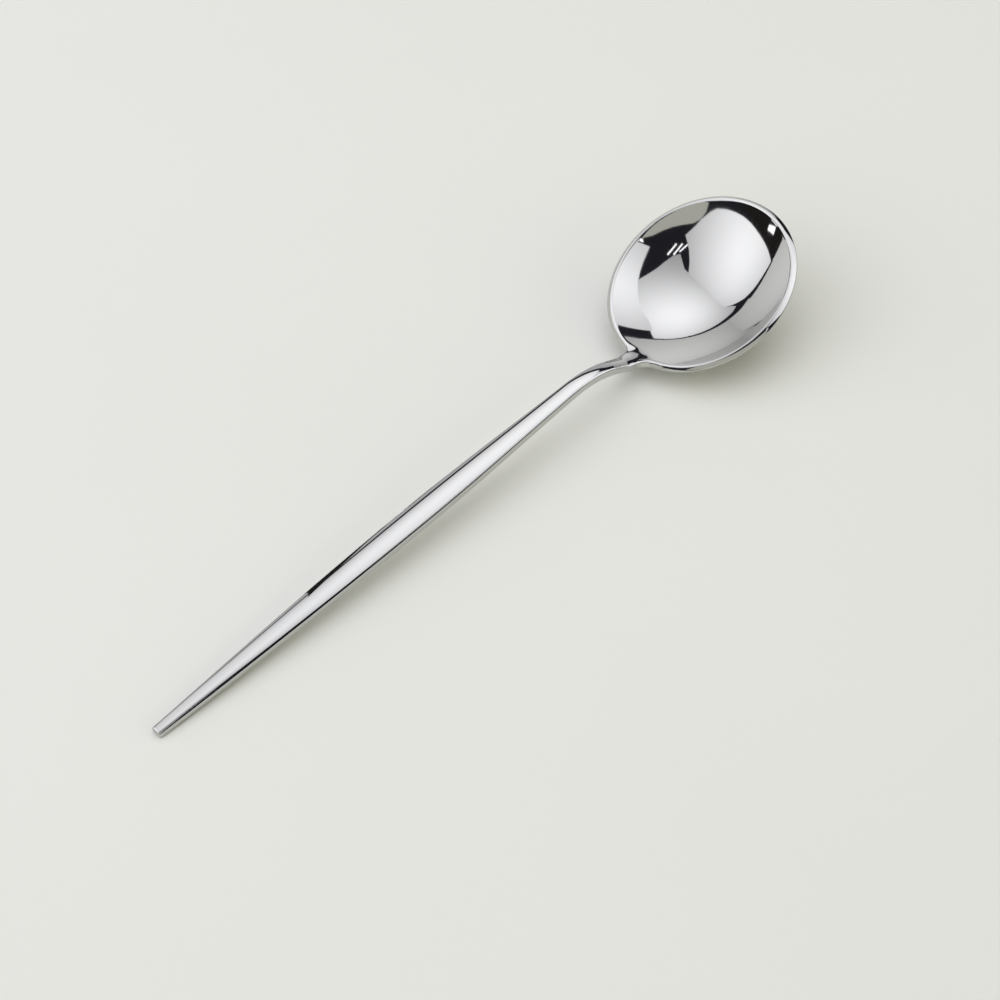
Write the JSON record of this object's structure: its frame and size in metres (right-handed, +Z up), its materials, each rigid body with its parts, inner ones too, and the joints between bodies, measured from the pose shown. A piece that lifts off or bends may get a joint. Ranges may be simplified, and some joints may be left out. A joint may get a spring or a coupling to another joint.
{
  "type": "table spoon",
  "caption": "Mirror-polished steel table spoon with a nearly round deep bowl, a narrow neck and a slim crowned handle that tapers to a small square-cut end.",
  "frame": {"origin": "on the table, under the middle of the spoon's length", "axes": "+X along the spoon from the handle's end to the bowl, +Z up from the table on which the spoon lies with its hollow side up"},
  "size_m": [0.21, 0.0498, 0.0248],
  "materials": {
    "polished_steel": "mirror polished stainless steel, no plating"
  },
  "bodies": {
    "root": {"bowl": "polished_steel", "neck_weld": "polished_steel", "handle": "polished_steel"}
  },
  "joints": []
}
